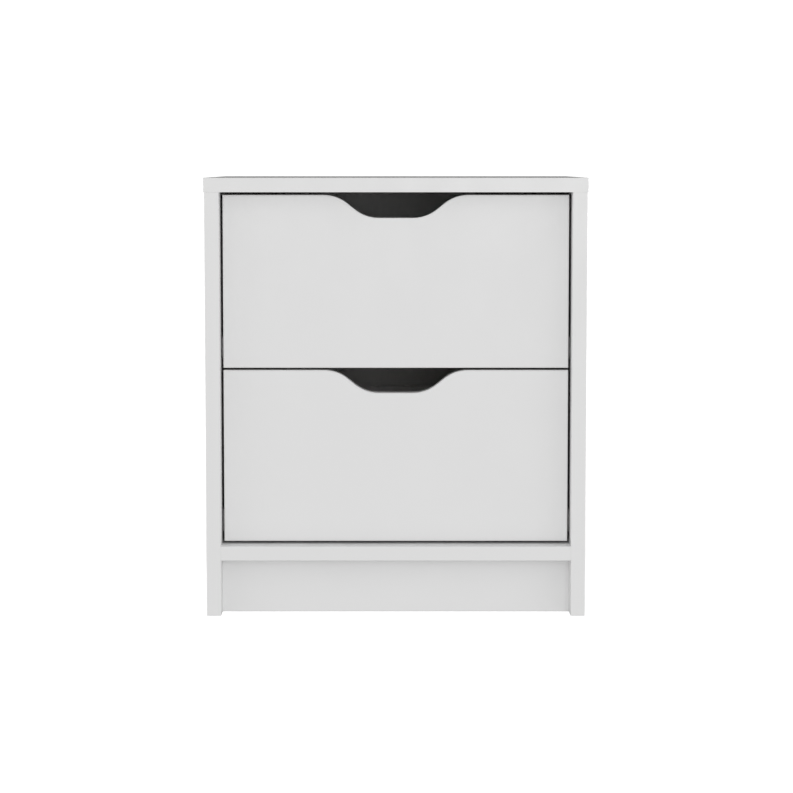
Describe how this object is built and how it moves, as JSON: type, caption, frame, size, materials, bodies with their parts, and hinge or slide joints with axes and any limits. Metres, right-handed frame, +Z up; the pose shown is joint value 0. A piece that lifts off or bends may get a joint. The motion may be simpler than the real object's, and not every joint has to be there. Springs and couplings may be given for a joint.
{
  "type": "nightstand with drawers",
  "caption": "Low white bedside cabinet with inset drawers on roller runners, curved finger-pull cut-outs in the drawer fronts and a recessed kick board.",
  "frame": {"origin": "on the floor, in the middle of the footprint", "axes": "+X to the right as seen from the front, +Y to the back (the drawers open towards -Y), +Z up"},
  "size_m": [0.4, 0.35, 0.46],
  "materials": {
    "white_board": "satin",
    "hardboard": "matte",
    "rail_steel": "satin",
    "roller_nylon": "satin",
    "cam_zinc": "satin",
    "fastener_steel": "satin",
    "dowel_wood": "matte"
  },
  "bodies": {
    "cabinet": {"back_panel": "hardboard", "back_panel_nails": "fastener_steel", "bottom_panel": "white_board", "cabinet_cam_bolts": "fastener_steel", "cabinet_cam_discs": "cam_zinc", "cabinet_dowels": "dowel_wood", "cabinet_rail_screws": "fastener_steel", "cabinet_roller_pins": "fastener_steel", "kick_board": "white_board", "left_side_panel": "white_board", "lower_left_cabinet_rail": "rail_steel", "lower_right_cabinet_rail": "rail_steel", "right_side_panel": "white_board", "top_panel": "white_board", "upper_left_cabinet_rail": "rail_steel", "upper_right_cabinet_rail": "rail_steel"},
    "upper_drawer": {"upper_drawer_back": "white_board", "upper_drawer_back_screws": "fastener_steel", "upper_drawer_bottom": "hardboard", "upper_drawer_bottom_screws": "fastener_steel", "upper_drawer_cam_bolts": "fastener_steel", "upper_drawer_cam_discs": "cam_zinc", "upper_drawer_dowels": "dowel_wood", "upper_drawer_front": "white_board", "upper_drawer_left_side": "white_board", "upper_drawer_rail_screws": "fastener_steel", "upper_drawer_right_side": "white_board", "upper_drawer_roller_pins": "fastener_steel", "upper_left_drawer_rail": "rail_steel", "upper_right_drawer_rail": "rail_steel"},
    "lower_drawer": {"lower_drawer_back": "white_board", "lower_drawer_back_screws": "fastener_steel", "lower_drawer_bottom": "hardboard", "lower_drawer_bottom_screws": "fastener_steel", "lower_drawer_cam_bolts": "fastener_steel", "lower_drawer_cam_discs": "cam_zinc", "lower_drawer_dowels": "dowel_wood", "lower_drawer_front": "white_board", "lower_drawer_left_side": "white_board", "lower_drawer_rail_screws": "fastener_steel", "lower_drawer_right_side": "white_board", "lower_drawer_roller_pins": "fastener_steel", "lower_left_drawer_rail": "rail_steel", "lower_right_drawer_rail": "rail_steel"},
    "lower_left_cabinet_roller": {"lower_left_cabinet_roller": "roller_nylon"},
    "lower_left_drawer_roller": {"lower_left_drawer_roller": "roller_nylon"},
    "lower_right_cabinet_roller": {"lower_right_cabinet_roller": "roller_nylon"},
    "lower_right_drawer_roller": {"lower_right_drawer_roller": "roller_nylon"},
    "upper_left_cabinet_roller": {"upper_left_cabinet_roller": "roller_nylon"},
    "upper_left_drawer_roller": {"upper_left_drawer_roller": "roller_nylon"},
    "upper_right_cabinet_roller": {"upper_right_cabinet_roller": "roller_nylon"},
    "upper_right_drawer_roller": {"upper_right_drawer_roller": "roller_nylon"}
  },
  "joints": [
    {"name": "lower_drawer_slide", "type": "slide", "parent": "cabinet", "child": "lower_drawer", "axis": [0, -1, 0], "range_m": [0, 0.225]},
    {"name": "upper_drawer_slide", "type": "slide", "parent": "cabinet", "child": "upper_drawer", "axis": [0, -1, 0], "range_m": [0, 0.225]},
    {"name": "lower_left_cabinet_roller_spin", "type": "hinge", "parent": "cabinet", "child": "lower_left_cabinet_roller", "pos_m": [-0.17835, -0.126, 0.0938], "axis": [1, 0, 0], "continuous": true},
    {"name": "lower_left_drawer_roller_spin", "type": "hinge", "parent": "lower_drawer", "child": "lower_left_drawer_roller", "pos_m": [-0.17715, 0.147, 0.0968], "axis": [1, 0, 0], "continuous": true},
    {"name": "lower_right_cabinet_roller_spin", "type": "hinge", "parent": "cabinet", "child": "lower_right_cabinet_roller", "pos_m": [0.17835, -0.126, 0.0938], "axis": [1, 0, 0], "continuous": true},
    {"name": "lower_right_drawer_roller_spin", "type": "hinge", "parent": "lower_drawer", "child": "lower_right_drawer_roller", "pos_m": [0.17715, 0.147, 0.0968], "axis": [1, 0, 0], "continuous": true},
    {"name": "upper_left_cabinet_roller_spin", "type": "hinge", "parent": "cabinet", "child": "upper_left_cabinet_roller", "pos_m": [-0.17835, -0.126, 0.27755], "axis": [1, 0, 0], "continuous": true},
    {"name": "upper_left_drawer_roller_spin", "type": "hinge", "parent": "upper_drawer", "child": "upper_left_drawer_roller", "pos_m": [-0.17715, 0.147, 0.28055], "axis": [1, 0, 0], "continuous": true},
    {"name": "upper_right_cabinet_roller_spin", "type": "hinge", "parent": "cabinet", "child": "upper_right_cabinet_roller", "pos_m": [0.17835, -0.126, 0.27755], "axis": [1, 0, 0], "continuous": true},
    {"name": "upper_right_drawer_roller_spin", "type": "hinge", "parent": "upper_drawer", "child": "upper_right_drawer_roller", "pos_m": [0.17715, 0.147, 0.28055], "axis": [1, 0, 0], "continuous": true}
  ],
  "couplings": [
    {"joint": "lower_left_cabinet_roller_spin", "follows": "lower_drawer_slide", "rad_per_m": 100},
    {"joint": "lower_left_drawer_roller_spin", "follows": "lower_drawer_slide", "rad_per_m": 100},
    {"joint": "lower_right_cabinet_roller_spin", "follows": "lower_drawer_slide", "rad_per_m": 100},
    {"joint": "lower_right_drawer_roller_spin", "follows": "lower_drawer_slide", "rad_per_m": 100},
    {"joint": "upper_left_cabinet_roller_spin", "follows": "upper_drawer_slide", "rad_per_m": 100},
    {"joint": "upper_left_drawer_roller_spin", "follows": "upper_drawer_slide", "rad_per_m": 100},
    {"joint": "upper_right_cabinet_roller_spin", "follows": "upper_drawer_slide", "rad_per_m": 100},
    {"joint": "upper_right_drawer_roller_spin", "follows": "upper_drawer_slide", "rad_per_m": 100}
  ]
}
